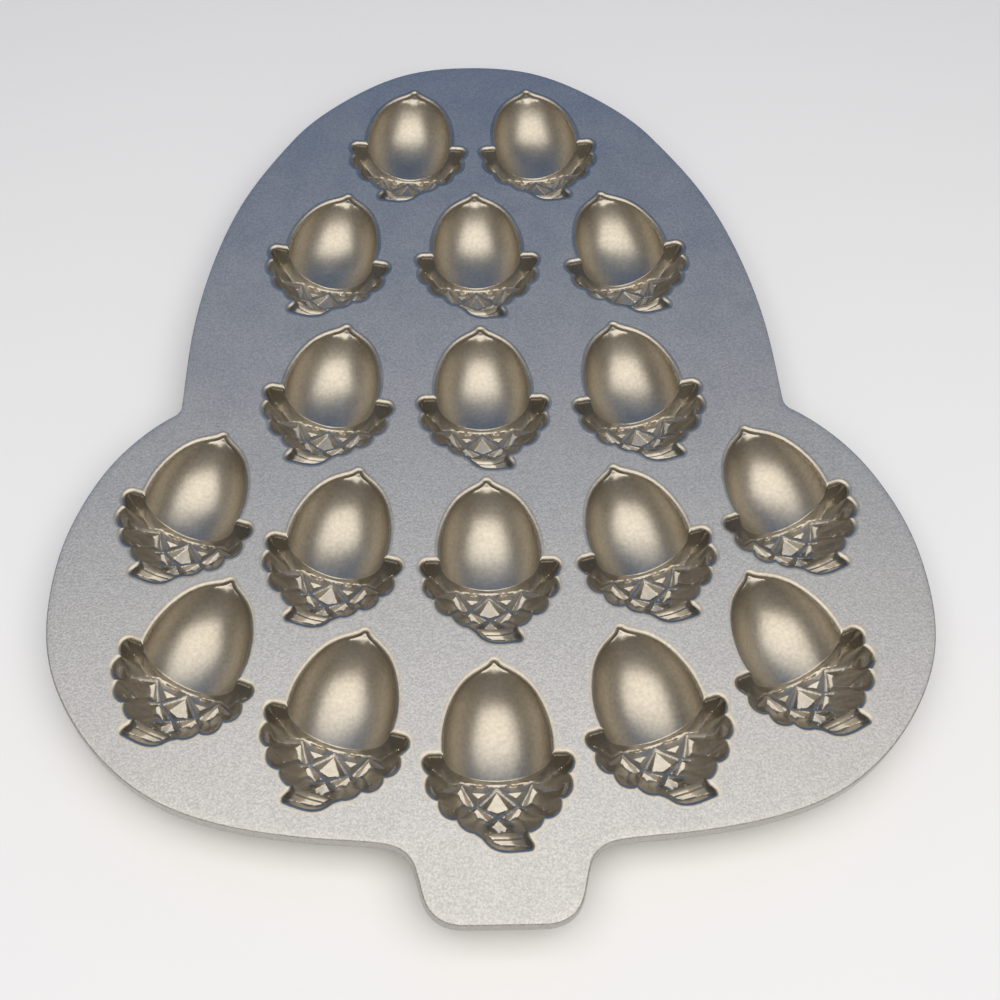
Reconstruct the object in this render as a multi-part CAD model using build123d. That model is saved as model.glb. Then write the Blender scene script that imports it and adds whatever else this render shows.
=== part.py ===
from build123d import *
import math
import os

# Acorn cakelet pan, cast in one piece from aluminium. Millimetres, +Z up.
# +X is to the right and +Y points from the handle tab to the top of the dome.
# The origin is under the middle of the pan, on the surface that it stands on.

# Driving dimensions of the whole pan
DECK = 3.0              # thickness of the deck plate
WALL = 3.0              # thickness of the rim wall
RIM_DEPTH = 6.3         # height of the rim wall, down from the deck's upper face
RIM_FLARE = 0.6         # how far the rim wall leans out at its lower edge
RIM_ROUND = 0.8         # rounding of the rim's upper edge
DOME_TOP = 222.2        # top of the dome, from the line of the outline's two notches
NOTCH_TOP = (125.6, 25.0)   # end of the dome's side, where the notch turns
NOTCH_END = (128.3, 20.6)   # start of a cap lobe, where the notch ends
LOBE = (168.8, -62.0)   # widest place of a cap lobe
LOBE_END = (100.0, -146.3)  # where a lobe runs out into the flat front edge
TAB_END = -181.6        # front edge of the handle tab
TAB_NECK = (29.2, -166.0)   # side of the tab
TAB_FLAT = 13.0         # half the straight stretch of the tab's front edge
TAB_ROOT = -160.0       # line where the tab leaves the pan
OUTLINE_STEP = 14.0     # spacing of the points that carry the outline inwards and outwards
MID_Y = (DOME_TOP + TAB_END) / 2    # middle of the pan, from the line of the notches

# Driving dimensions of one acorn cup, from the middle of its cap's edge, with the tip along +Y
NUT_HALF = 19.75        # half the width of the nut
NUT_SQUASH = 0.88       # depth of the nut over its half width
NUT_BACK = -8.6         # where the nut's hollow ends, inside the cap's
BRIM_SLOPE = 0.40       # lean of the wall at the cap's edge, run over depth, so that cakes come out
CAP_HALF = 25.5         # half the width of the cap at its edge
CAP_LENGTH = 29.5       # length of the cap at deck level
CAP_DEPTH = 18.0        # depth of the cap
CAP_FLOOR = 27.5        # length of the cap along its floor
EAR_HALF = 26.8         # half the width over the two ends of the cap's edge
EAR_DEPTH = 3.0         # depth at which the ends of the cap's edge turn down
RIM_ROWS = (-6.6, -15.2, -21.8, -26.3)  # notches between the scales along the mouth
SCALE_PIT = 1.5         # how far each scale stands out of the cap
CUP_WALL = 3.0          # wall of a cup
FLANGE = 2.0            # flat margin of deck around a cup's mouth
FOOT = 0.5              # height ground off each cup's belly to make a flat foot
TOP = CAP_DEPTH + CUP_WALL - FOOT       # height of the deck's upper face above the table

# Width of the nut along its length: distance from the cap's edge, share of the half width.
# The last four make the pointed nipple.
NUT_SHAPE = (
    (NUT_BACK, 0.965), (-3.0, 0.99), (4.6, 1.0), (10.0, 0.985), (14.7, 0.935), (20.3, 0.83),
    (25.9, 0.653), (28.6, 0.52), (30.4, 0.36), (31.7, 0.20), (33.1, 0.10), (34.5, 0.02),
)

# Cups on the middle line: distance of the cap's edge from the line of the notches.
CENTRE_CUPS = {
    "row2_centre": 103.0,
    "row3_centre": 27.2,
    "row4_centre": -47.6,
    "row5_centre": -123.9,
}

# Cups in mirrored pairs: the same distance after half the spacing, then the lean in degrees.
PAIRED_CUPS = {
    "row1": (30.4, 169.5, 5.0),
    "row2": (65.9, 103.9, 12.2),
    "row3": (64.3, 29.6, 10.8),
    "row4_inner": (60.2, -41.2, 14.2),
    "row4_outer": (118.5, -23.0, 18.5),
    "row5_inner": (57.5, -110.2, 15.5),
    "row5_outer": (113.4, -87.3, 22.3),
}


def mirrored(points):
    """The same points on the other side of the Y axis, in reverse order."""
    return [(-point[0], *point[1:]) for point in reversed(points)]


def right_half():
    """Right half of the pan's outline, clockwise: points, first direction, last direction."""
    down, out, back, side = (0.03, -1.0), (1.0, -0.6), (-1.0, -0.27), (-0.3, -1.0)
    dome_top = [(0.0, DOME_TOP), (30.0, 218.2), (60.0, 201.2), (85.3, 175.0)]
    dome_side = [dome_top[-1], (105.3, 140.0), (118.3, 100.0), (124.4, 60.0), NOTCH_TOP]
    lobe_top = [NOTCH_END, (140.0, 11.4), (150.0, 0.0), (160.0, -18.0), (166.5, -38.0), LOBE]
    lobe_end = [LOBE, (165.5, -86.0), (155.3, -107.0), (140.0, -125.0), (120.0, -139.0), LOBE_END]
    front = [LOBE_END, (80.0, -150.3), (60.0, -152.6), (44.0, -153.9)]
    neck = [front[-1], (36.0, -155.8), (31.3, -160.0), TAB_NECK]
    corner = [TAB_NECK, (27.6, -172.0), (24.5, -177.5), (19.0, -180.8), (TAB_FLAT, TAB_END)]
    return [
        (dome_top, (1.0, 0.0), (0.65, -1.0)), (dome_side, (0.65, -1.0), down),
        ([NOTCH_TOP, NOTCH_END], down, out),
        (lobe_top, out, (0.0, -1.0)), (lobe_end, (0.0, -1.0), back),
        (front, back, (-1.0, -0.12)), (neck, (-1.0, -0.12), side), (corner, side, (-1.0, 0.0)),
    ]


def pan_outline(grow):
    """Face inside the pan's outline, with every point moved outwards by the same distance."""
    edges = []
    for points, start, end in right_half():
        base = Spline(*points, tangents=(start, end))
        count = max(3, round(base.length / OUTLINE_STEP))
        moved = []
        for i in range(count + 1):
            spot, way = base.position_at(i / count), base.tangent_at(i / count)
            moved.append((spot.X - grow * way.Y, spot.Y + grow * way.X))
        edge = Spline(*moved, tangents=(start, end))
        edges += [edge.edge(), mirror(edge, Plane.YZ).edge()]
    edges.append(Line((TAB_FLAT, TAB_END - grow), (-TAB_FLAT, TAB_END - grow)).edge())
    return Face(Wire(edges))


def half_oval(y, middle, half, depth, power):
    """Lower half of an oval across the acorn, closed by a line at deck level."""
    points = []
    for angle in (0, 15, 32, 52, 70, 90, 110, 128, 148, 165, 180):
        across = math.cos(math.radians(angle))
        down = math.sin(math.radians(angle))
        x = middle + half * math.copysign(abs(across) ** (2 / power), across)
        points.append((x, y, -depth * down ** (2 / power)))
    with BuildLine() as line:
        Spline(*points, tangents=((0, 0, -1), (0, 0, 1)))
        Line(points[-1], points[0])
    return Face(Wire(line.edges()))


def nut_body(wall):
    """The nut as a loft of half ovals, grown by a wall that thins towards the nipple."""
    length = NUT_SHAPE[-1][0]
    ovals = []
    for y, share in NUT_SHAPE:
        grow = wall * min(1, 2.2 * share + 0.1)
        ahead = wall * max(0, y) / length
        half = NUT_HALF * share
        ovals.append(half_oval(y + ahead, 0, half + grow, NUT_SQUASH * half + 1.1 * grow, 2.0))
    return loft(ovals)


def cap_half_width(y):
    """Half width of the cap at deck level, at the bottoms of the notches between scales."""
    return CAP_HALF * (1 - (abs(y) / CAP_LENGTH) ** 1.8) ** (1 / 1.8)


def cap_depth(x, y):
    """Depth of the cap's floor under the deck at a point of the plan."""
    floor = CAP_DEPTH * (1 - min(1, abs(y) / CAP_FLOOR) ** 2.5) ** (1 / 2.5)
    return floor * (1 - min(1, abs(x) / cap_half_width(y)) ** 2.3) ** (1 / 2.3)


def brim_point(x):
    """Foot of the leaning wall at the cap's edge, at a distance from the middle line."""
    depth = cap_depth(x, -BRIM_SLOPE * CAP_DEPTH * (1 - (x / EAR_HALF) ** 2))
    return (x, -BRIM_SLOPE * depth, -depth)


def lattice():
    """Crossings of the diamond lattice on the cap, by column and row."""
    inner = {
        (1, 2): (7.7, -14.2),
        (3, 2): (19.6, -8.9),
        (0, 3): (0.0, -18.4),
        (2, 3): (14.6, -17.0),
        (1, 4): (7.8, -23.2),
        (0, 5): (0.0, -25.6),
    }
    crossings = {(0, 1): brim_point(0), (2, 1): brim_point(12.9), (4, 1): brim_point(24.2)}
    for key, (x, y) in inner.items():
        crossings[key] = (x, y, -cap_depth(x, y))
    for key, y in zip(((4, 3), (3, 4), (2, 5), (1, 6)), RIM_ROWS):
        x = 0.985 * cap_half_width(y)
        crossings[key] = (x, y, -cap_depth(x, y))
    for (column, row), (x, y, z) in list(crossings.items()):
        crossings[(-column, row)] = (-x, y, z)
    return crossings


def scale_facets(*corners):
    """One scale: a low pyramid whose peak stands nearer to the stem than the middle."""
    shares = (0.14, 0.22, 0.42, 0.22) if len(corners) == 4 else (0.30, 0.40, 0.30)
    points = [Vector(*corner) for corner in corners]
    middle = sum((point * share for point, share in zip(points, shares)), Vector(0, 0, 0))
    outward = (points[2] - points[0]).cross(points[1] - points[-1]).normalized()
    if outward.dot(middle - Vector(0, -8, -4)) < 0:
        outward = -outward
    peak = middle + outward * SCALE_PIT
    return [(points[i - 1], points[i], peak) for i in range(len(points))]


def cap_mouth():
    """Right-hand outline of the cap at deck level: its end, then three cut scales."""
    notches = [(cap_half_width(y), y) for y in RIM_ROWS]
    return [
        (EAR_HALF - 1.4, 0.0), (EAR_HALF, -1.8), (EAR_HALF - 0.3, -4.4),
        notches[0], (25.6, -11.0), notches[1], (20.7, -18.9), notches[2], (13.3, -24.4), notches[3],
    ]


def cap_side(at, side):
    """Facets of one side of the cap's hollow, from the middle line to the deck."""
    facets = scale_facets(at[0, 1], at[1, 2], at[2, 1])
    facets += scale_facets(at[2, 1], at[3, 2], at[4, 1])
    facets += scale_facets(at[4, 1], at[3, 2], at[4, 3])
    facets += scale_facets(at[2, 1], at[1, 2], at[2, 3], at[3, 2])
    facets += scale_facets(at[1, 2], at[0, 3], at[1, 4], at[2, 3])
    facets += scale_facets(at[3, 2], at[2, 3], at[3, 4], at[4, 3])
    facets += scale_facets(at[2, 3], at[1, 4], at[2, 5], at[3, 4])
    facets += scale_facets(at[1, 4], at[0, 5], at[1, 6], at[2, 5])
    mouth = [(side * x, y, 0) for x, y in cap_mouth()]
    ear = (side * (EAR_HALF - 0.8), -BRIM_SLOPE * EAR_DEPTH, -EAR_DEPTH)
    facets += [(mouth[0], ear, mouth[1]), (mouth[1], ear, mouth[2]), (mouth[2], ear, at[4, 3])]
    facets += [(mouth[2], at[4, 3], mouth[3]), (ear, at[4, 1], at[4, 3])]
    rim = (at[4, 3], at[3, 4], at[2, 5], at[1, 6])
    for i in range(3):
        notch, bulge, next_notch = mouth[3 + 2 * i: 6 + 2 * i]
        facets += [(rim[i], notch, bulge), (rim[i], bulge, rim[i + 1]), (rim[i + 1], bulge, next_notch)]
    return facets


def cap_hollow():
    """Hollow of the scaled cap as one closed body of facets, run up through the deck."""
    at = lattice()
    facets = scale_facets(at[0, 1], at[-1, 2], at[0, 3], at[1, 2])
    facets += scale_facets(at[0, 3], at[-1, 4], at[0, 5], at[1, 4])
    for side in (1, -1):
        facets += cap_side({(abs(c), r): p for (c, r), p in at.items() if c * side >= 0}, side)
    right = cap_mouth()
    around = right + mirrored(right)
    end = [(*right[-1], 0), (-right[-1][0], right[-1][1], 0)]
    facets += [(at[0, 5], at[1, 6], at[-1, 6]), (at[1, 6], at[-1, 6], end[1], end[0])]
    ear = (EAR_HALF - 0.8, -BRIM_SLOPE * EAR_DEPTH, -EAR_DEPTH)
    edge = [(*right[0], 0), ear, at[4, 1], at[2, 1]]
    facets.append(tuple(edge + [at[0, 1]] + mirrored(edge)))
    for i in range(len(around)):
        start, stop = around[i - 1], around[i]
        facets.append(((*start, 0), (*stop, 0), (*stop, DECK), (*start, DECK)))
    facets.append(tuple((x, y, DECK) for x, y in around))
    return Solid(Shell([Face(Wire.make_polygon([Vector(*p) for p in f], close=True)) for f in facets]))


def cap_body():
    """Outside of the cap's wall: a smooth low dome, cut parallel to the leaning edge."""
    length = CAP_LENGTH + 1.7
    ovals = []
    for y in (3.2, 0.0, -7.0, -14.0, -20.0, -25.0, -28.5, -30.6):
        part = abs(min(y, 0)) / length
        half = (EAR_HALF + CUP_WALL) * (1 - part ** 1.8) ** (1 / 1.8)
        depth = (CAP_DEPTH + CUP_WALL) * (1 - part ** 2.5) ** (1 / 2.5)
        ovals.append(half_oval(y, 0, half, depth, 2.3))
    lean = Plane(origin=(0, CUP_WALL, 0), z_dir=(0, 1, -BRIM_SLOPE))
    return split(loft(ovals), bisect_by=lean, keep=Keep.BOTTOM)


def stem_body(wall):
    """The short hooked stem: three half ovals, each further over to the hook's side."""
    ovals = [(-22.0, 0.6, 6.6, 7.0), (-28.4, 2.2, 6.6, 6.6), (-33.6 - wall, 5.4, 5.6, 4.0)]
    return loft([half_oval(y, mid, half + wall, depth + wall, 2.2) for y, mid, half, depth in ovals])


def mouth_margin():
    """Outline about one flat margin outside a cup's mouth, where the cup meets the deck plate."""
    nut = [(NUT_HALF + FLANGE, FLANGE), (21.6, 9.0), (19.9, 17.4), (16.2, 25.2), (9.8, 31.4),
           (4.6, 34.4), (0.0, 37.2)]
    cap = [(NUT_HALF + FLANGE, FLANGE), (EAR_HALF - 0.4, FLANGE), (EAR_HALF + FLANGE, -1.2), (28.5, -5.2),
           (27.6, -12.2), (22.9, -20.0), (15.0, -26.3), (11.6, -28.2)]
    hook = [(13.3, -34.2), (11.2, -35.8), (1.0, -35.8), (-4.2, -33.6), (-8.6, -28.6)]
    right = Spline(*nut, tangents=((0, 1), (-0.55, 0.9)))
    left = Spline(*mirrored(nut), tangents=((-0.55, -0.9), (0, -1)))
    edges = [right, left] + Polyline(*(cap + hook + mirrored(cap[:-1]))).edges()
    return Face(Wire(edges))


def below(depth):
    """Everything lower than a depth under the deck's upper face, around one cup."""
    return Pos(0, 0, -depth) * Box(90, 110, 60, align=(Align.CENTER, Align.CENTER, Align.MAX))


def acorn_cup():
    """One acorn cup whose stem hooks to the right, with its tip along +Y."""
    shell = (nut_body(CUP_WALL) + cap_body() + stem_body(CUP_WALL - 0.5)) & below(DECK)
    cup = shell + extrude(mouth_margin(), -DECK)
    return cup - nut_body(0) - cap_hollow() - stem_body(0) - below(TOP)


def cup_places():
    """Name, place and hand of every cup: the stem hooks right on the middle line and to its right."""
    rows = [(name, 0, y, 0, 1) for name, y in CENTRE_CUPS.items()]
    for name, (x, y, lean) in PAIRED_CUPS.items():
        rows.append((name + "_right", x, y, lean, 1))
        rows.append((name + "_left", -x, y, -lean, -1))
    return rows


def save(shape, name):
    """Write one piece to its own file."""
    shape.label = name
    export_step(shape, "parts/" + name + ".step")


def write_cups():
    """Write the cups and give back the deck's holes around them."""
    cup = {1: acorn_cup()}
    cup[-1] = mirror(cup[1], Plane.YZ)
    hole = {1: extrude(mouth_margin(), -DECK)}
    hole[-1] = mirror(hole[1], Plane.YZ)
    holes = []
    for name, x, y, lean, hand in cup_places():
        place = Pos(x, y - MID_Y, TOP) * Rot(0, 0, lean)
        save(place * cup[hand], "cup_" + name)
        holes.append(place * hole[hand])
    return holes


def region(x_low, x_high, y_low, y_high):
    """A tall block over part of the plan, measured from the line of the notches."""
    size = (x_high - x_low, y_high - y_low)
    return Pos(x_low, y_low - MID_Y, 0) * Box(*size, 2 * TOP, align=(Align.MIN, Align.MIN, Align.MIN))


def write_plate(holes):
    """Write the deck plate, the rim in its three stretches, and the handle tab."""
    level = Pos(0, -MID_Y, TOP)
    inner = level * pan_outline(-WALL)
    rings = [level * Pos(0, 0, -RIM_DEPTH) * pan_outline(RIM_FLARE)]
    for turn in (0, 30, 60, 90):
        inset = RIM_ROUND * (1 - math.cos(math.radians(turn)))
        down = RIM_ROUND * (1 - math.sin(math.radians(turn)))
        rings.append(level * Pos(0, 0, -down) * pan_outline(-inset))
    rim = loft(rings, ruled=True) - extrude(inner, RIM_DEPTH, dir=(0, 0, -1))
    plate = extrude(inner, DECK, dir=(0, 0, -1))
    for hole in holes:
        plate = plate - hole
    reach = 200
    save(plate - region(-reach, reach, -reach, TAB_ROOT), "deck_plate")
    save((plate + rim) & region(-reach, reach, -reach, TAB_ROOT), "handle_tab")
    save(rim & region(-reach, reach, NOTCH_TOP[1], 2 * reach), "rim_dome")
    save(rim & region(0, reach, TAB_ROOT, NOTCH_TOP[1]), "rim_lobe_right")
    save(rim & region(-reach, 0, TAB_ROOT, NOTCH_TOP[1]), "rim_lobe_left")


os.makedirs("parts", exist_ok=True)
write_plate(write_cups())
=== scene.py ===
import math

import bpy
import numpy as np
from mathutils import Matrix, Vector
from mathutils.geometry import delaunay_2d_cdt


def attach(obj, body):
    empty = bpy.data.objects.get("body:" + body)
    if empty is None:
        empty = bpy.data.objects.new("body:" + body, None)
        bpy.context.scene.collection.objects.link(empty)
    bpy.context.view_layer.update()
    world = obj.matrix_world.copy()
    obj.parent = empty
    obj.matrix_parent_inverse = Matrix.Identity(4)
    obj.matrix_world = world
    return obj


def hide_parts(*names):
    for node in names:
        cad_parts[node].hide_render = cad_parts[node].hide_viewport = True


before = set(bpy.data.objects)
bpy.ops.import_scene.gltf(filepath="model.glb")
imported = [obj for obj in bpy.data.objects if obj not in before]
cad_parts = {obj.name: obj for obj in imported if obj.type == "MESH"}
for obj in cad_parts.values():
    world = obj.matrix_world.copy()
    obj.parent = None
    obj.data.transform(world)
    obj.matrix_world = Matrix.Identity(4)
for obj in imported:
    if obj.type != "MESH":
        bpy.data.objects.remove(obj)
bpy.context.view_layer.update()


# Acorn cups
# Each cup is a smooth nut with a small pointed nipple, a leaning wall at the cap's edge, a cap of
# diamond scales and a short hooked stem, cast into the deck in the same pour. The deck's edge rolls
# over into each hollow with a small round lip. The cups are warmer and shinier than the deck.
MM = 0.001
MID_Y = 20.3  # middle of the pan, from the line through the outline's two notches
TOP = 20.5  # the deck's upper face, above the table
DECK = 3.0  # thickness of the deck plate
LIP = 1.3  # width of the rounded lip round each hollow
EDGE = 0.65  # depth of the lip's inner edge, where the wall drops
FLANGE = 2.0  # flat margin round each hollow that belongs to the cup

# Middle of each cup on the deck, its lean in degrees, and 1, or -1 for a mirror image.
CUPS = {
    "cup_row1_right": (30.4, 169.5, 5.0, 1),
    "cup_row2_right": (65.9, 103.9, 12.2, 1),
    "cup_row3_right": (64.3, 29.6, 10.8, 1),
    "cup_row4_inner_right": (60.2, -41.2, 14.2, 1),
    "cup_row4_outer_right": (118.5, -23.0, 18.5, 1),
    "cup_row5_inner_right": (57.5, -110.2, 15.5, 1),
    "cup_row5_outer_right": (113.4, -87.3, 22.3, 1),
}
CENTRE_CUPS = {2: 103.0, 3: 27.2, 4: -47.6, 5: -123.9}
CUPS.update({k.replace("right", "left"): (-x, y, -lean, -1) for k, (x, y, lean, _) in CUPS.items()})
CUPS.update({f"cup_row{row}_centre": (0.0, y, 0.0, 1) for row, y in CENTRE_CUPS.items()})

# The mouth of a hollow in the cup's own plan: x across, y towards the nut's tip.
NUT_SIDE = [
    (19.4, 0.2), (19.4, 7.0), (17.9, 15.0), (15.3, 21.5),
    (11.4, 27.3), (7.0, 31.0), (3.6, 33.0), (0.9, 35.2),
]
NUT_TIP = ((0.9, 35.2), (0.0, 35.75), (-0.9, 35.2))
EAR = [(19.4, 0.2), (22.5, 0.55), (25.2, 0.35), (26.6, -1.2), (26.4, -3.6), (24.9, -5.9), (24.4, -6.9)]
SCALLOPS = [
    ((24.4, -6.9), (25.5, -11.0), (20.8, -15.0), 30),
    ((20.8, -15.0), (20.6, -18.9), (14.8, -21.5), 26),
    ((14.8, -21.5), (13.0, -24.7), (9.2, -26.4), 22),
]
STEM_END = [(-9.2, -26.4), (-6.6, -28.2), (-4.0, -31.0), (-0.6, -32.7), (5.0, -33.0), (10.0, -32.6)]
HOOK = [(10.0, -32.6), (10.6, -31.8), (9.5, -29.2), (9.0, -27.2), (9.2, -26.4)]
MOUTH_STEP = 0.35  # spacing of the points along those curves
MOUTH_SPACING = 0.36  # and in the finished mouth
SAME_POINT = 0.02


def spline(points, start, end, step):
    """Cubic curve through the points, with given end directions, sampled evenly along its chords.

    The slopes at the points solve the equations that make the bend the same on both sides of each.
    """
    p = np.array(points, float)
    t = np.r_[0, np.cumsum(np.linalg.norm(np.diff(p, axis=0), axis=1))]
    h = np.diff(t)
    n = len(p)
    a = np.zeros((n, n))
    b = np.zeros_like(p)
    a[0, 0] = a[-1, -1] = 1
    b[0] = np.array(start) / np.linalg.norm(start)
    b[-1] = np.array(end) / np.linalg.norm(end)
    for i in range(1, n - 1):
        a[i, i - 1 : i + 2] = h[i], 2 * (h[i - 1] + h[i]), h[i - 1]
        b[i] = 3 * (h[i] / h[i - 1] * (p[i] - p[i - 1]) + h[i - 1] / h[i] * (p[i + 1] - p[i]))
    m = np.linalg.solve(a, b)
    u = np.linspace(0, t[-1], max(3, round(t[-1] / step)) + 1)
    k = np.clip(np.searchsorted(t, u, side="right") - 1, 0, n - 2)
    s = ((u - t[k]) / h[k])[:, None]
    g = h[k][:, None]
    return (
        (2 * s**3 - 3 * s**2 + 1) * p[k]
        + (s**3 - 2 * s**2 + s) * g * m[k]
        + (3 * s**2 - 2 * s**3) * p[k + 1]
        + (s**3 - s**2) * g * m[k + 1]
    )


def arc(a, b, c, n):
    """Points on the circle through three points, from the first by the second to the last.

    Its centre is as far from each of the three, and the points are evenly spaced in angle.
    """
    (ax, ay), (bx, by), (cx, cy) = a, b, c
    d = 2 * (ax * (by - cy) + bx * (cy - ay) + cx * (ay - by))
    q = [ax * ax + ay * ay, bx * bx + by * by, cx * cx + cy * cy]
    centre_x = (q[0] * (by - cy) + q[1] * (cy - ay) + q[2] * (ay - by)) / d
    centre_y = (q[0] * (cx - bx) + q[1] * (ax - cx) + q[2] * (bx - ax)) / d
    centre = np.array([centre_x, centre_y])
    w = [math.atan2(*(np.array(v) - centre)[::-1]) for v in (a, b, c)]
    turn = (w[2] - w[0]) % (2 * math.pi)
    if (w[1] - w[0]) % (2 * math.pi) > turn:
        turn -= 2 * math.pi
    w = w[0] + turn * np.linspace(0, 1, n)
    return centre + np.linalg.norm(np.array(a) - centre) * np.c_[np.cos(w), np.sin(w)]


def even(points, step, closed=False):
    """The same line with its points at an even spacing along it."""
    p = np.array(points, float)
    if closed:
        p = np.r_[p, p[:1]]
    t = np.r_[0, np.cumsum(np.linalg.norm(np.diff(p, axis=0), axis=1))]
    u = np.linspace(0, t[-1], max(2, round(t[-1] / step)) + 1)
    q = np.c_[np.interp(u, t, p[:, 0]), np.interp(u, t, p[:, 1])]
    return q[:-1] if closed else q


def mouth_outline():
    """The hollow's edge in plan, anticlockwise: nut, tip, left ear, scallops, stem, scallops, right ear."""
    nut = spline(NUT_SIDE, (0, 1), (-0.62, 0.9), MOUTH_STEP)
    tip = arc(*NUT_TIP, 6)
    ear = spline(EAR, (0.8, 0.5), (-0.2, -1), MOUTH_STEP)[::-1]
    lobes = np.concatenate([arc(*scallop) for scallop in SCALLOPS])
    stem = spline(STEM_END, (0.8, -0.6), (1, 0.05), MOUTH_STEP)
    hook = spline(HOOK, (0.9, 0.5), (0.3, 1), MOUTH_STEP)
    flip = np.array([-1, 1])
    left = [(nut * flip)[::-1], (ear * flip)[::-1], lobes * flip]
    line = np.concatenate([nut, tip, *left, stem, hook, lobes[::-1], ear])
    keep = np.linalg.norm(line - np.roll(line, 1, 0), axis=1) > SAME_POINT
    return even(line[keep], MOUTH_SPACING, closed=True)


BATCH = 2000  # points measured at once, which bounds the memory


def signed_distance(p, loop):
    """Distance from each point to a closed outline, negative inside.

    It is the least distance to any of its straight pieces. A point is inside where a level ray from
    it crosses the outline an odd number of times.
    """
    a, b = loop, np.roll(loop, -1, 0)
    out = np.empty(len(p))
    for i in range(0, len(p), BATCH):
        q = p[i : i + BATCH, None]
        ab = b - a
        t = np.clip(((q - a) * ab).sum(-1) / (ab * ab).sum(-1), 0, 1)
        d = np.linalg.norm(q - a - t[..., None] * ab, axis=-1).min(1)
        up = (a[:, 1] > q[..., 1]) != (b[:, 1] > q[..., 1])
        x = a[:, 0] + (q[..., 1] - a[:, 1]) * ab[:, 0] / np.where(ab[:, 1] == 0, 1e-9, ab[:, 1])
        inside = (up & (q[..., 0] < x)).sum(1) % 2 == 1
        out[i : i + BATCH] = np.where(inside, -d, d)
    return out


def smooth_max(a, b, k):
    """The greater of two depths, with the crease between them rounded over k."""
    h = np.clip(0.5 + 0.5 * (a - b) / k, 0, 1)
    return b + (a - b) * h + k * h * (1 - h)


def bulge(t, power):
    """Height at t of a quarter round of size 1: a circle at power 2, and squarer above it."""
    return np.clip(1 - t**power, 0, 1) ** (1 / power)


def nut_share(y, ahead, back):
    """How far along the nut a point is: 0 at its widest, 1 at either end of an oval of unlike halves."""
    return np.where(y > NUT_MIDDLE, (y - NUT_MIDDLE) / ahead, (y - NUT_MIDDLE) / back)


NUT_HALF, NUT_DEPTH, NUT_MIDDLE = 19.5, 17.4, 4.0  # half width, depth, and the y where it is widest
NUT_AHEAD, NUT_BACK = 28.7, 31.3  # its length from there to the tip, and towards the stem
NUT_FULL, NUT_TAPER = 0.5, 0.28  # power of its section, a half circle's, and what the tip adds to it
NIPPLE_FROM, NIPPLE_CREASE = 26, 0.3
NIPPLE_HALF = ((26, 29, 31, 32, 33, 34.3, 35.7), (4.6, 4.9, 5.2, 4.6, 3.5, 1.9, 0.35))
NIPPLE_DEPTH = ((26, 29.2, 33, 35.7), (3.6, 4.9, 2.3, EDGE))


def nut_depth(p):
    """Half an ellipsoid that gets steeper towards the tip, or the nipple's groove where it is deeper.

    The groove is a parabola across, with its half width and its depth given along y.
    """
    x, y = p[:, 0], p[:, 1]
    t = nut_share(y, NUT_AHEAD, NUT_BACK)
    body = np.clip(1 - (x / NUT_HALF) ** 2 - t**2, 0, 1)
    power = NUT_FULL + NUT_TAPER * np.clip(t, 0, 1) ** 2
    dome = EDGE + (NUT_DEPTH - EDGE) * body**power
    reach = np.interp(y, *NIPPLE_HALF)
    groove = np.interp(y, *NIPPLE_DEPTH)
    nipple = EDGE + (groove - EDGE) * np.clip(1 - (x / reach) ** 2, 0, 1)
    return np.where(y > NIPPLE_FROM, smooth_max(dome, nipple, NIPPLE_CREASE), dome)


BRIM_BACK = (0.0, 5.3, 7.4)  # section of the leaning wall at the cap's edge, towards the stem
BRIM_DEPTH = (0.0, 16.0, 18.8)
BRIM_END, NO_LIMIT = 8.0, 40.0  # past the wall's foot it sets no limit to the depth


def brim_depth(y):
    """Depth of the wall at the cap's edge: steep down to the nut's edge, then a short slope."""
    return np.interp(-y, (*BRIM_BACK, BRIM_END), (*BRIM_DEPTH, NO_LIMIT))


CAP_HALF, CAP_LENGTH, CAP_DEPTH = 25.5, 29.5, 18.0
CAP_FLOOR_LENGTH, CAP_LAST = 27.5, 27.4  # where the floor comes up to the deck, and just short of it
IN_PLAN, ALONG, ACROSS = 1.8, 2.5, 2.3  # powers of the cap's rounds in its three views


def cap_depth(p, grow=1.0):
    """Floor of the cap before its scales are cut: a low dome, squarer across than a circle."""
    x, y = np.abs(p[..., 0]), np.clip(np.abs(p[..., 1]), 0, CAP_LAST)
    width = grow * CAP_HALF * bulge(y / (CAP_LENGTH * grow), IN_PLAN)
    floor = CAP_DEPTH * bulge(y / (CAP_FLOOR_LENGTH * grow), ALONG)
    return floor * bulge(x / width, ACROSS)


# Crossings of the lines between the scales, by column and row, on the cap's right half.
NET = {
    (0, 1): (0.0, -7.1), (2, 1): (12.9, -6.2), (4, 1): (24.0, -3.2), (1, 2): (7.7, -14.2),
    (3, 2): (19.6, -9.2), (0, 3): (0.0, -18.4), (2, 3): (14.6, -17.0), (4, 3): (24.2, -7.4),
    (1, 4): (7.8, -23.0), (3, 4): (20.5, -15.1), (0, 5): (0.0, -25.4), (2, 5): (14.5, -21.4),
    (1, 6): (8.8, -26.2), (5, 2): (28.4, -4.8), (5, 4): (28.2, -12.6), (4, 5): (23.4, -20.8),
    (3, 6): (16.6, -27.0), (2, 7): (10.0, -31.0),
}
CREST = 0.45  # height of the lines between the scales
PIT = 1.45  # how far a scale stands out of the cap
SCALE_GROW = 1.04  # the scales lie on a cap this much bigger
FAN_DROP = 0.35  # a fan lies level this far under the scale's top corner
FAN_LEAST, FAN_MOST = 0.6 * PIT, 2.0 * PIT
BAND_START, BAND_END, BAND_RISE = 0.12, 0.16, 0.05  # the second line inside a scale's upper edges


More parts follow.
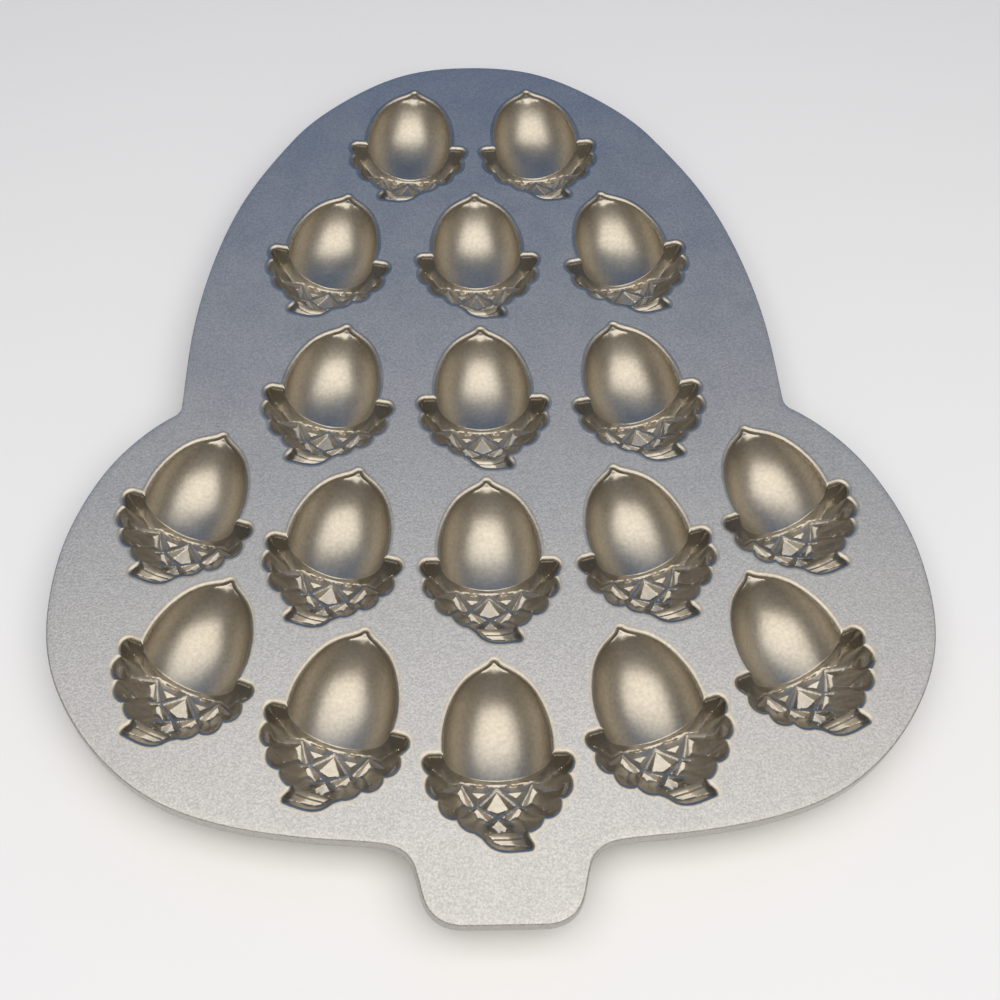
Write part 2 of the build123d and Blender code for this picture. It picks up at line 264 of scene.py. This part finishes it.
def scale_facets(top, left, right, foot):
    """One scale as flat facets: a raised band along its two upper edges, a level fan, a steep end.

    Its corners are crossings of the net, and a point in it is a blend of the four, by its share a
    towards the left and its share b towards the right.
    """

    def at(a, b, level=0.0):
        q = (1 - a) * (1 - b) * top + a * (1 - b) * left + (1 - a) * b * right + a * b * foot
        return (*q, cap_depth(q[None], SCALE_GROW)[0] + level)

    def fan(a, b):
        x, y, floor = at(a, b)
        return (x, y, floor + np.clip(at(0, 0)[2] + FAN_DROP - floor, FAN_LEAST, FAN_MOST))

    t, l, r, f = at(0, 0, -CREST), at(1, 0, -CREST), at(0, 1, -CREST), at(1, 1, -CREST)
    tb = at(BAND_START, BAND_START, BAND_RISE - CREST)
    lb, rb = at(1, BAND_START, -CREST), at(BAND_START, 1, -CREST)
    ts = at(BAND_END, BAND_END, BAND_RISE)
    ls, rs = at(1, BAND_END, -CREST), at(BAND_END, 1, -CREST)
    fl, fr, m = fan(0.90, 0.40), fan(0.40, 0.90), fan(0.78, 0.78)
    band = [(t, l, lb), (t, lb, tb), (t, tb, rb), (t, rb, r)]
    band += [(tb, lb, ls), (tb, ls, ts), (tb, ts, rs), (tb, rs, rb)]
    level = [(ts, ls, fl), (ts, fr, rs), (ts, fl, m), (ts, m, fr)]
    end = [(ls, f, fl), (rs, fr, f), (fl, f, m), (m, f, fr)]
    return band + level + end


def cut_facets(left, right, foot):
    """A scale cut off by the cap's edge: a dark slope, a narrow bright lens and a steep end.

    A point in it is a blend of its three corners.
    """

    def at(a, b, c, level):
        q = a * left + b * right + c * foot
        return (*q, cap_depth(q[None], SCALE_GROW)[0] + level)

    t, l, r, f = at(0.5, 0.5, 0, 1.3), at(1, 0, 0, 0), at(0, 1, 0, 0), at(0, 0, 1, -CREST)
    a, b, m = at(0.56, 0.10, 0.34, 0.15), at(0.12, 0.54, 0.34, 0.15), at(0.22, 0.18, 0.60, 0.75)
    return [(l, a, t), (a, b, t), (b, r, t), (a, m, b), (l, f, a), (a, f, m), (m, f, b), (b, f, r)]


def all_facets():
    """The facets of all the scales of a cap, as an array of triangles (x, y, depth)."""
    n = {(side * c, r): np.array((side * x, y)) for (c, r), (x, y) in NET.items() for side in (1, -1)}
    tops = [(c, r) for c, r in n if (c, r + 2) in n and (c - 1, r + 1) in n and (c + 1, r + 1) in n]
    found = []
    for c, r in tops:
        found += scale_facets(n[c, r], n[c - 1, r + 1], n[c + 1, r + 1], n[c, r + 2])
    for side in (1, -1):
        for a, b, c in (((0, 1), (2, 1), (1, 2)), ((2, 1), (4, 1), (3, 2))):
            found += cut_facets(n[side * a[0], a[1]], n[side * b[0], b[1]], n[side * c[0], c[1]])
    return np.array(found)


NO_AREA, ON_EDGE = 1e-9, 1e-6


def facet_depth(p, facets, otherwise):
    """Depth of the flat facet over each point; where there is none, the other depth given."""
    depth = otherwise.copy()
    for a, b, c in facets:
        d = (b[0] - a[0]) * (c[1] - a[1]) - (c[0] - a[0]) * (b[1] - a[1])
        if abs(d) < NO_AREA:
            continue
        u = ((p[:, 0] - a[0]) * (c[1] - a[1]) - (c[0] - a[0]) * (p[:, 1] - a[1])) / d
        v = ((b[0] - a[0]) * (p[:, 1] - a[1]) - (p[:, 0] - a[0]) * (b[1] - a[1])) / d
        inside = (u >= -ON_EDGE) & (v >= -ON_EDGE) & (u + v <= 1 + ON_EDGE)
        depth[inside] = (a[2] + u * (b[2] - a[2]) + v * (c[2] - a[2]))[inside]
    return depth


NECK = -25.9  # a low ridge crosses the hollow here, between cap and stem
NECK_HALF, NECK_RISE = 0.8, 0.6
STEM_FROM, STEM_ONLY, STEM_LENGTH = -25.0, -26.0, 8
STEM_DEPTH, STEM_BEND, STEM_ROUND, STEM_RIDGE = 6.2, 0.55, 0.02, 1.2
STEM_SLOPE, STEM_SLOPE_FROM = 0.42, 2.0  # its floor rises to the right past here
STEM_STEPS = ([0.6, 2.4, 2.8, 5.0, 8.0], [0.0, 0.5, -0.5, 0.2, -1.6])  # its curved bands, from the neck
STEM_FALL, STEM_POWER = 2.6, 0.8  # its wall falls by this times the way in, to this power


def stem_depth(x, y, ridge, inward):
    """Floor of the stem: stepped bands that bend to the right, rising on that side, inside a steep wall."""
    down = np.clip(NECK - y, 0, STEM_LENGTH)
    across = x - STEM_BEND * down
    step = np.interp(down, *STEM_STEPS)
    stem = STEM_DEPTH + step - STEM_SLOPE * np.clip(across - STEM_SLOPE_FROM, 0, None)
    stem = stem - STEM_ROUND * across**2 - STEM_RIDGE * ridge
    return np.where(y < STEM_FROM, np.minimum(stem, EDGE + STEM_FALL * inward**STEM_POWER), 0)


WALL_FALL, WALL_POWER = 3.4, 0.72  # the cap's wall, in the same way
NUT_FALL, NUT_STEP = 2.6, 1.3  # the short steep step under the nut's lip
NUT_ONLY = 2.0  # past this y there is only the nut
UNDER_GROW = 1.06  # where there is no scale the cap's floor is this much bigger
NUT_CREASE = 0.5


def hollow_depth(p, s, facets):
    """Depth of the hollow: the deepest of nut, cap and stem, and outside the outline a round lip.

    The cap is the scales, or the hollow's wall or the leaning wall where those are less deep. The
    lip is a parabola that is level where it meets the deck.
    """
    x, y = p[:, 0], p[:, 1]
    inward = np.clip(-s, 0, None)
    wall = EDGE + WALL_FALL * inward**WALL_POWER
    scales = facet_depth(p, facets, cap_depth(p, UNDER_GROW))
    ridge = np.exp(-(((y - NECK) / NECK_HALF) ** 2)) * np.clip(1.3 - np.abs(x) / 8, 0, 1)
    cap = np.minimum(scales - NECK_RISE * ridge, wall)
    cap = np.minimum(cap, EDGE + brim_depth(y))
    stem = stem_depth(x, y, ridge, inward)
    cap = np.where(y < STEM_ONLY, np.minimum(cap, stem), cap)
    hollow = smooth_max(nut_depth(p), np.maximum(cap, stem), NUT_CREASE)
    hollow = np.where(y > NUT_ONLY, nut_depth(p), hollow)
    lip = EDGE * (1 - np.clip(s, 0, LIP) / LIP) ** 2
    steep = EDGE + np.minimum(NUT_FALL * inward, NUT_STEP)
    return np.where(s > 0, lip, np.maximum(hollow, np.where(y > 0, steep, EDGE)))


OUTER_NUT_HALF, OUTER_NUT_DEPTH = 22.6, 20.7
OUTER_NUT_AHEAD, OUTER_NUT_BACK = 32.0, 36.0
OUTER_CAP_HALF, OUTER_CAP_DEPTH = 29.8, 21.0
OUTER_CAP_LENGTH, OUTER_CAP_PLAN = 31.2, 31.3  # its floor comes up just inside its edge in plan
OUTER_EDGE, OUTER_LEAN = 3.0, 0.40  # where the cap's edge starts outside, and its run over its depth
OUTER_NECK, OUTER_STEM_LENGTH = -22, 14
OUTER_STEM_DEPTH, OUTER_STEM_RISE = 9.4, 0.28  # depth at the neck, and what it loses to each mm on
OUTER_STEM_HALF, OUTER_STEM_X, OUTER_STEM_BEND = 9.0, 0.6, 0.4
OUTER_STEM_FROM, OUTER_STEM_END, OUTER_STEM_ROUND = -15, -36.0, 1.5


def outer_depth(p):
    """Depth of the cup's outside under the deck: nut, cap and stem grown by the wall, ground flat."""
    x, y = p[:, 0], p[:, 1]
    t = nut_share(y, OUTER_NUT_AHEAD, OUTER_NUT_BACK)
    nut = OUTER_NUT_DEPTH * np.clip(1 - (x / OUTER_NUT_HALF) ** 2 - t**2, 0, 1) ** 0.5
    back = np.clip(-y, 0, OUTER_CAP_LENGTH)
    width = OUTER_CAP_HALF * bulge(back / OUTER_CAP_PLAN, IN_PLAN) + 1e-6
    cap = OUTER_CAP_DEPTH * bulge(back / OUTER_CAP_LENGTH, ALONG) * bulge(np.abs(x) / width, ACROSS)
    cap = np.minimum(cap, np.clip(OUTER_EDGE - y, 0, None) / OUTER_LEAN)
    down = np.clip(OUTER_NECK - y, 0, OUTER_STEM_LENGTH)
    middle = OUTER_STEM_X + down * OUTER_STEM_BEND
    stem = OUTER_STEM_DEPTH - OUTER_STEM_RISE * down
    stem = stem * np.clip(1 - ((x - middle) / OUTER_STEM_HALF) ** 2, 0, 1) ** 0.5
    stem = stem * np.clip((y - OUTER_STEM_END) / OUTER_STEM_ROUND, 0, 1) ** 0.4
    stem = np.where((y < OUTER_STEM_FROM) & (y > OUTER_STEM_END), stem, 0)
    return np.minimum(smooth_max(smooth_max(nut, cap, 1.0), stem, 0.8), TOP)


LOOP_MIDDLE = np.array((0.0, -8.0))
LOOP_POINTS = 360
LOOP_FAR, LOOP_NEAR, LOOP_STEPS, LOOP_HALVINGS = 46, 6, 320, 12


def round_loop(reach):
    """Points of a closed line round the cup's middle, as far out on each ray as reach() is true.

    Each ray is walked inwards in steps, and the last step is then halved again and again.
    """
    angle = np.linspace(0, 2 * math.pi, LOOP_POINTS, endpoint=False)
    far = np.linspace(LOOP_FAR, LOOP_NEAR, LOOP_STEPS)
    ray = np.c_[np.cos(angle), np.sin(angle)]
    spots = LOOP_MIDDLE + ray[:, None] * far[:, None]
    hit = reach(spots.reshape(-1, 2)).reshape(LOOP_POINTS, -1)
    first = hit.argmax(1)
    lo, hi = far[first], far[np.maximum(first - 1, 0)]
    for _ in range(LOOP_HALVINGS):
        mid = (lo + hi) / 2
        ok = reach(LOOP_MIDDLE + ray * mid[:, None])
        lo, hi = np.where(ok, mid, lo), np.where(ok, hi, mid)
    return LOOP_MIDDLE + ray * lo[:, None]


HEX_ROW = 0.866  # height of a triangle over its side


def hex_grid(step):
    """A triangular grid of points over the cup: every second row is shifted by half a step."""
    x, y = np.meshgrid(np.arange(-30, 30, step), np.arange(-38, 38, step * HEX_ROW))
    x = x + (np.arange(len(x)) % 2)[:, None] * step / 2
    return np.c_[x.ravel(), y.ravel()]


HOLE_REACH = 60  # no hole reaches further than this from its middle


def filled(outer, holes, inside, snap):
    """Triangles within an outline and outside its holes, by way of the points inside, facing up.

    They are the constrained Delaunay triangles whose middles lie within.
    """
    loops = [outer, *holes]
    start = np.cumsum([0] + [len(q) for q in loops])
    edges = [(s + i, s + (i + 1) % len(q)) for s, q in zip(start, loops) for i in range(len(q))]
    points = np.concatenate([*loops, inside])
    verts, _, faces, *_ = delaunay_2d_cdt([Vector(q) for q in points.tolist()], edges, [], 0, snap)
    v = np.array([tuple(q) for q in verts])
    f = np.array([t for t in faces if len(t) == 3])
    middle = v[f].mean(1)
    keep = signed_distance(middle, outer) < 0
    for hole in holes:
        close = keep & (np.linalg.norm(middle - hole.mean(0), axis=1) < HOLE_REACH)
        keep[close] = signed_distance(middle[close], hole) > 0
    f = f[keep]
    a, b, c = v[f[:, 0]], v[f[:, 1]], v[f[:, 2]]
    turn = (b[:, 0] - a[:, 0]) * (c[:, 1] - a[:, 1]) - (c[:, 0] - a[:, 0]) * (b[:, 1] - a[:, 1])
    f[turn < 0] = f[turn < 0][:, ::-1]
    return v, f


SHARP = 48  # degrees between two faces past which the edge between them stays crisp


def new_piece(name, verts, faces, material, slot, *nodes):
    """A mesh that stands for CAD nodes, from points in millimetres in the pan's frame."""
    mesh = bpy.data.meshes.new(name)
    mesh.from_pydata((np.asarray(verts) * MM).tolist(), [], [list(map(int, q)) for q in faces])
    mesh.polygons.foreach_set("use_smooth", np.ones(len(mesh.polygons), bool))
    mesh.set_sharp_from_angle(angle=math.radians(SHARP))
    mesh.materials.append(material)
    obj = bpy.data.objects.new(name, mesh)
    bpy.context.scene.collection.objects.link(obj)
    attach(obj, "root")
    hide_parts(*nodes)
    return obj


PATCH_GRAIN = 60  # scale of the slow patches
SHADE_FROM, SHADE_TO = 0.34, 0.66  # values of the blended noise for the dark and the light colour
GLOSS_SWING = 0.06  # how far the patches take the roughness up and down
BUMP_STRENGTH = 0.5


def metal(name, dark, light, roughness, grain, depth, patchy):
    """Cast metal whose colour wanders in a fine grain and slow patches, with a fine uneven surface.

    The colour runs from dark to light with a blend of two noises, patchy of it the slow one. The
    roughness follows the slow noise, and the bump, depth metres high, follows the fine one.
    """
    material = bpy.data.materials.new(name)
    material.use_nodes = True
    tree = material.node_tree
    links = tree.links
    shader = tree.nodes["Principled BSDF"]
    shader.inputs["Metallic"].default_value = 1.0
    where = tree.nodes.new("ShaderNodeTexCoord")

    def noise(scale, detail):
        node = tree.nodes.new("ShaderNodeTexNoise")
        node.inputs["Scale"].default_value = scale
        node.inputs["Detail"].default_value = detail
        links.new(where.outputs["Object"], node.inputs["Vector"])
        return node.outputs["Fac"]

    fine, patches = noise(grain, 2), noise(PATCH_GRAIN, 5)
    both = tree.nodes.new("ShaderNodeMix")
    both.inputs["Factor"].default_value = patchy
    links.new(fine, both.inputs["A"])
    links.new(patches, both.inputs["B"])
    shade = tree.nodes.new("ShaderNodeValToRGB")
    for stop, place, colour in zip(shade.color_ramp.elements, (SHADE_FROM, SHADE_TO), (dark, light)):
        stop.position = place
        stop.color = (*colour, 1)
    links.new(both.outputs["Result"], shade.inputs["Fac"])
    links.new(shade.outputs["Color"], shader.inputs["Base Color"])
    gloss = tree.nodes.new("ShaderNodeMapRange")
    gloss.inputs["To Min"].default_value = roughness - GLOSS_SWING
    gloss.inputs["To Max"].default_value = roughness + GLOSS_SWING
    links.new(patches, gloss.inputs["Value"])
    links.new(gloss.outputs["Result"], shader.inputs["Roughness"])
    bump = tree.nodes.new("ShaderNodeBump")
    bump.inputs["Strength"].default_value = BUMP_STRENGTH
    bump.inputs["Distance"].default_value = depth
    links.new(fine, bump.inputs["Height"])
    links.new(bump.outputs["Normal"], shader.inputs["Normal"])
    return material


mouth = mouth_outline()
facets = all_facets()
deck_loop = round_loop(lambda p: signed_distance(p, mouth) < FLANGE)
shell_loop = round_loop(lambda p: outer_depth(p) > DECK)

# Rows of points beside the mouth, by their distance from it over the width of the lip.
MOUTH_ROWS = (1.0, 0.82, 0.6, 0.38, 0.2, 0.07, 0.0, -0.05, -0.15, -0.35, -0.65, -1.05, -1.6, -2.2)
ROW_SLACK = 0.02  # a point of a row is dropped where another part of the mouth is nearer
along = np.roll(mouth, -1, 0) - np.roll(mouth, 1, 0)
outward = np.c_[along[:, 1], -along[:, 0]] / np.linalg.norm(along, axis=1)[:, None]
rows = []
for s in MOUTH_ROWS:
    row = mouth + outward * s * LIP
    rows.append(row[np.abs(signed_distance(row, mouth) - s * LIP) < ROW_SLACK])

# A fine grid over cap and stem, and a coarser one over the smooth nut, each kept clear of the mouth.
CAP_GRID, CAP_CLEAR = 0.5, 1.1
NUT_GRID, NUT_CLEAR = 0.95, 2.8
GRID_LINE = 1  # the y between the two
fine = hex_grid(CAP_GRID)
coarse = hex_grid(NUT_GRID)
rows.append(fine[(fine[:, 1] < GRID_LINE) & (signed_distance(fine, mouth) < -CAP_CLEAR)])
rows.append(coarse[(coarse[:, 1] >= GRID_LINE) & (signed_distance(coarse, mouth) < -NUT_CLEAR)])

# Rows along the line where the nut meets the leaning wall, which is found by turns.
ridge_x = np.arange(-18.6, 18.7, 0.35)
ridge_y = np.full_like(ridge_x, -5.0)
for _ in range(12):
    ridge_y = -np.interp(nut_depth(np.c_[ridge_x, ridge_y]) - EDGE, BRIM_DEPTH, BRIM_BACK)
for shift in (-0.5, -0.25, 0.0, 0.25, 0.5):
    rows.append(np.c_[ridge_x, ridge_y + shift])

# Rows along the edges of the facets, so that these stay straight.
for a, b, c in facets[:, :, :2]:
    for p, q in ((a, b), (b, c), (c, a)):
        rows.append(even([p, q], CAP_GRID))

CELL = 0.1  # of the points in one such square only the first is kept
FLANGE_CLEAR = 0.15  # none is nearer than this to the flange's outer edge
SNAP = 1e-4  # points nearer than this are one
inside = np.concatenate(rows)
inside = inside[signed_distance(inside, deck_loop) < -FLANGE_CLEAR]
_, first = np.unique(np.round(inside / CELL).astype(int), axis=0, return_index=True)
top_plan, top_faces = filled(deck_loop, [], inside[np.sort(first)], SNAP)
top_z = TOP - hollow_depth(top_plan, signed_distance(top_plan, mouth), facets)

# The belly under the deck has a coarse grid, and close rows where it leaves the deck.
BELLY_GRID, BELLY_CLEAR, BELLY_ROWS = 1.2, 0.5, (0.004, 0.012, 0.03)
under = hex_grid(BELLY_GRID)
under = under[signed_distance(under, shell_loop) < -BELLY_CLEAR]
near = [LOOP_MIDDLE + (shell_loop - LOOP_MIDDLE) * (1 - k) for k in BELLY_ROWS]
low_plan, low_faces = filled(shell_loop, [], np.concatenate([*near, under]), SNAP)
low_z = TOP - np.maximum(outer_depth(low_plan), DECK)
low_faces = low_faces[:, ::-1] + len(top_plan)
ring_top = np.arange(LOOP_POINTS)
ring_low = np.arange(LOOP_POINTS) + len(top_plan)
side = np.c_[ring_top, ring_low, np.roll(ring_low, -1), np.roll(ring_top, -1)]
cup_verts = np.r_[np.c_[top_plan, top_z], np.c_[low_plan, low_z]]
cup_faces = [*top_faces.tolist(), *low_faces.tolist(), *side.tolist()]

cup_metal = metal(
    "cup metal",
    dark=(0.37, 0.335, 0.28),
    light=(0.48, 0.445, 0.38),
    roughness=0.38,
    grain=700,
    depth=0.00006,
    patchy=0.45,
)


def placed(points, x, y, lean, hand):
    """Points of one cup in the pan's frame: mirrored if it is a left-hand cup, turned, then moved."""
    c, s = math.cos(math.radians(lean)), math.sin(math.radians(lean))
    px, py = points[:, 0] * hand, points[:, 1]
    turned = np.c_[c * px - s * py + x, s * px + c * py + y - MID_Y]
    return np.c_[turned, points[:, 2:]]


for name, place in CUPS.items():
    faces = cup_faces if place[3] > 0 else [q[::-1] for q in cup_faces]
    new_piece("acorn_" + name[4:], placed(cup_verts, *place), faces, cup_metal, "cup", name)


# Deck plate
# One flat plate with the outline of a big acorn, cast in one pour with the cups between which it
# lies. It is matt and paler than the cups, with a fine sparkling grain. Its underside is plain.
WALL = 3.0  # width of the rim, inside the outline
OUTLINE_STEP = 1.2
DOME_TOP = 222.2
TAB_END, TAB_FLAT, TAB_ROOT = -181.6, 13.0, -163.0
NOTCH = 25  # height of the two notches, where dome and lobes meet

# The outline's right half, from the dome's top to the tab, with its direction at each curve's ends.
DOME = [(0, DOME_TOP), (30, 218.2), (60, 201.2), (85.3, 175)]
DOME_SIDE = [(85.3, 175), (105.3, 140), (118.3, 100), (124.4, 60), (125.6, 25)]
NOTCH_CURVE = [(125.6, 25), (128.3, 20.6)]
LOBE_BACK = [(128.3, 20.6), (140, 11.4), (150, 0), (160, -18), (166.5, -38), (168.8, -62)]
LOBE_FRONT = [(168.8, -62), (165.5, -86), (155.3, -107), (140, -125), (120, -139), (100, -146.3)]
FRONT = [(100, -146.3), (80, -150.3), (60, -152.6), (44, -153.9)]
TAB_CORNER = [(44, -153.9), (36, -155.8), (31.3, -160), (29.2, -166)]
TAB_SIDE = [(29.2, -166), (27.6, -172), (24.5, -177.5), (19, -180.8), (TAB_FLAT, TAB_END)]
HALF_OUTLINE = [
    (DOME, (1, 0), (0.65, -1)),
    (DOME_SIDE, (0.65, -1), (0.03, -1)),
    (NOTCH_CURVE, (0.03, -1), (1, -0.6)),
    (LOBE_BACK, (1, -0.6), (0, -1)),
    (LOBE_FRONT, (0, -1), (-1, -0.27)),
    (FRONT, (-1, -0.27), (-1, -0.12)),
    (TAB_CORNER, (-1, -0.12), (-0.3, -1)),
    (TAB_SIDE, (-0.3, -1), (-1, 0)),
]
right = [spline(*stretch, OUTLINE_STEP)[:-1] for stretch in HALF_OUTLINE]
right = np.concatenate([*right, [(TAB_FLAT, TAB_END), (TAB_FLAT * 0.5, TAB_END), (0, TAB_END)]])
outline = np.r_[right, (right[1:-1] * (-1, 1))[::-1]] - (0, MID_Y)
way = np.roll(outline, -1, 0) - np.roll(outline, 1, 0)
edge_out = np.c_[-way[:, 1], way[:, 0]] / np.linalg.norm(way, axis=1)[:, None]
inner = outline - edge_out * WALL


def right_hand_point(y):
    """Number of the outline's right-hand point that is nearest to a height."""
    off = np.abs(outline[:, 1] - (y - MID_Y))
    return int(np.where(outline[:, 0] > 0, off, np.inf).argmin())


root_right = right_hand_point(TAB_ROOT)
root_left = len(outline) - root_right
notch_right = right_hand_point(NOTCH)
notch_left = len(outline) - notch_right


PLATE_SNAP = 1e-5


def plate(outer, holes):
    """A flat plate as thick as the deck: its filled outline on top, and the same turned over below."""
    flat, up = filled(outer, holes, np.empty((0, 2)), PLATE_SNAP)
    n = len(flat)
    verts = np.r_[np.c_[flat, np.full(n, TOP)], np.c_[flat, np.full(n, TOP - DECK)]]
    return verts, np.r_[up, up[:, ::-1] + n].tolist()


deck_metal = metal(
    "deck metal",
    dark=(0.41, 0.40, 0.38),
    light=(0.55, 0.535, 0.515),
    roughness=0.50,
    grain=1300,
    depth=0.00016,
    patchy=0.08,
)
holes = [placed(deck_loop, *place) for place in CUPS.values()]
deck_edge = np.concatenate([inner[: root_right + 1], inner[root_left:]])
new_piece("deck", *plate(deck_edge, holes), deck_metal, "deck", "deck_plate")


# Rim
# The deck's outside edge rolls over into a low wall all round, cast with it and a little wider at
# its foot. The wall is bare metal, a bit smoother than the deck; its colour is a touch bluer than the
# deck's, a painted blue reflection.
RIM_DEPTH, RIM_FLARE, RIM_ROUND, RIM_FOOT = 6.3, 0.6, 0.8, 0.4
turn = np.radians(np.linspace(0, 90, 7))
profile = [(-WALL, 0.0)]
profile += [(-RIM_ROUND + RIM_ROUND * math.sin(a), -RIM_ROUND + RIM_ROUND * math.cos(a)) for a in turn]
profile += [(RIM_FLARE * k, -RIM_ROUND - (RIM_DEPTH - RIM_ROUND - RIM_FOOT) * k) for k in (0.33, 0.66)]
profile += [(RIM_FLARE, -RIM_DEPTH + RIM_FOOT), (RIM_FLARE - 0.12, -RIM_DEPTH + 0.1)]
profile += [(RIM_FLARE - RIM_FOOT, -RIM_DEPTH), (-WALL + 0.3, -RIM_DEPTH)]
profile += [(-WALL, -RIM_DEPTH + 0.3), (-WALL, -DECK)]


def rim_stretch(index):
    """The rim's section carried along part of the outline, square to it, then closed at both ends."""
    n, m = len(profile), len(index)
    sides = [np.c_[outline[index] + edge_out[index] * out, np.full(m, TOP + z)] for out, z in profile]
    verts = np.stack(sides, 1).reshape(-1, 3)
    i, j = np.meshgrid(np.arange(m - 1), np.arange(n), indexing="ij")
    k = (j + 1) % n
    quads = np.stack([i * n + j, (i + 1) * n + j, (i + 1) * n + k, i * n + k], -1).reshape(-1, 4)
    return verts, [*quads.tolist(), list(range(n))[::-1], [(m - 1) * n + j for j in range(n)]]


# The rim's colours are a touch bluer than the deck's: a painted blue reflection on the wall.
rim_metal_with_painted_reflection = metal(
    "rim metal with painted blue reflection",
    dark=(0.40, 0.39, 0.38),
    light=(0.56, 0.545, 0.53),
    roughness=0.42,
    grain=1400,
    depth=0.0001,
    patchy=0.08,
)
UPWARD = 0.5  # a face of the rim that looks up more than this has the deck's finish
total = len(outline)
spans = {
    "rim_dome": np.arange(notch_left, total + notch_right + 1) % total,
    "rim_lobe_right": np.arange(notch_right, root_right + 1),
    "rim_lobe_left": np.arange(root_left, notch_left + 1),
}
for name, index in spans.items():
    verts, faces = rim_stretch(index)
    edge = new_piece(name.replace("rim_", "edge_"), verts, faces, rim_metal_with_painted_reflection, "rim", name)
    edge.data.materials.append(deck_metal)
    edge.data.polygons.foreach_set("material_index", [int(f.normal.z > UPWARD) for f in edge.data.polygons])


# Handle tab
# A short flat tab at the front, of the same casting as the deck, with the rim running on round it.
# It is the only grip. The line between it and the deck doesn't show.
index = np.arange(root_right, root_left + 1)
verts, faces = plate(inner[index], [])
edge_verts, edge_faces = rim_stretch(index)
faces += [[q + len(verts) for q in face] for face in edge_faces]
new_piece("tab", np.r_[verts, edge_verts], faces, deck_metal, "deck", "handle_tab")


# Floor, light and camera
# A plain pale floor, one wide soft light overhead and a dim room, bluish far away.
FLOOR = [(-6, -6, 0), (6, -6, 0), (6, 6, 0), (-6, 6, 0)]
floor_mesh = bpy.data.meshes.new("floor")
floor_mesh.from_pydata(FLOOR, [], [(0, 1, 2, 3)])
floor = bpy.data.objects.new("floor", floor_mesh)
bpy.context.scene.collection.objects.link(floor)
white = bpy.data.materials.new("floor white")
white.use_nodes = True
white.node_tree.nodes["Principled BSDF"].inputs["Base Color"].default_value = (0.86, 0.86, 0.86, 1)
white.node_tree.nodes["Principled BSDF"].inputs["Roughness"].default_value = 0.9
floor_mesh.materials.append(white)


def soft_light(name, where, aim, size, power, colour):
    """A rectangular soft light that faces a point."""
    data = bpy.data.lights.new(name, "AREA")
    data.shape = "RECTANGLE"
    data.size, data.size_y = size
    data.energy = power
    data.color = colour
    obj = bpy.data.objects.new(name, data)
    obj.location = where
    obj.rotation_mode = "QUATERNION"
    obj.rotation_quaternion = (Vector(aim) - Vector(where)).to_track_quat("-Z", "Y")
    bpy.context.scene.collection.objects.link(obj)
    return obj


soft_light(
    "overhead",
    where=(0.05, -0.42, 1.0),
    aim=(0.05, -0.42, 0),
    size=(1.75, 1.4),
    power=15.0,
    colour=(1.0, 0.965, 0.915),
)

# The room's colours: behind the camera, at the sides, and ahead of it.
ROOM_BEHIND, ROOM_BESIDE, ROOM_AHEAD = (0.40, 0.37, 0.33, 1), (0.27, 0.265, 0.26, 1), (0.09, 0.26, 0.62, 1)
ROOM_FROM, ROOM_TO, ROOM_STRENGTH = -0.6, 0.9, 0.8
world = bpy.data.worlds.new("room")
bpy.context.scene.world = world
world.use_nodes = True
tree = world.node_tree
tree.nodes.clear()
where = tree.nodes.new("ShaderNodeTexCoord")
split = tree.nodes.new("ShaderNodeSeparateXYZ")
ramp = tree.nodes.new("ShaderNodeValToRGB")
span = tree.nodes.new("ShaderNodeMapRange")
span.inputs["From Min"].default_value = ROOM_FROM
span.inputs["From Max"].default_value = ROOM_TO
ramp.color_ramp.elements[0].color = ROOM_BEHIND
ramp.color_ramp.elements.new(0.5).color = ROOM_BESIDE
ramp.color_ramp.elements[2].color = ROOM_AHEAD
ground = tree.nodes.new("ShaderNodeBackground")
ground.inputs["Strength"].default_value = ROOM_STRENGTH
output = tree.nodes.new("ShaderNodeOutputWorld")
tree.links.new(where.outputs["Generated"], split.inputs["Vector"])
tree.links.new(split.outputs["Y"], span.inputs["Value"])
tree.links.new(span.outputs["Result"], ramp.inputs["Fac"])
tree.links.new(ramp.outputs["Color"], ground.inputs["Color"])
tree.links.new(ground.outputs["Background"], output.inputs["Surface"])

# The camera as fitted to the photo: its place in millimetres, where it looks, and its lens.
CAMERA_PLACE = Vector((-25.27, -259.03, 433.72))
CAMERA_AHEAD = Vector((0.0123, 0.47271, -0.88113))
CAMERA_ACROSS = Vector((0.99984, -0.0173, 0.00467))
SENSOR, LENS_OVER_SENSOR = 36, 1.1723
LENS_SHIFT = (0.0616, -0.0077)
eye = bpy.data.cameras.new("camera")
camera = bpy.data.objects.new("camera", eye)
bpy.context.scene.collection.objects.link(camera)
bpy.context.scene.camera = camera
across = (CAMERA_ACROSS - CAMERA_AHEAD * CAMERA_ACROSS.dot(CAMERA_AHEAD)).normalized()
turned = Matrix((across, CAMERA_AHEAD.normalized().cross(across) * -1, -CAMERA_AHEAD)).transposed()
camera.rotation_mode = "QUATERNION"
camera.rotation_quaternion = turned.to_quaternion()
camera.location = CAMERA_PLACE * MM
eye.sensor_width = SENSOR
eye.lens = SENSOR * LENS_OVER_SENSOR
eye.shift_x, eye.shift_y = LENS_SHIFT
bpy.context.scene.view_settings.view_transform = "Standard"
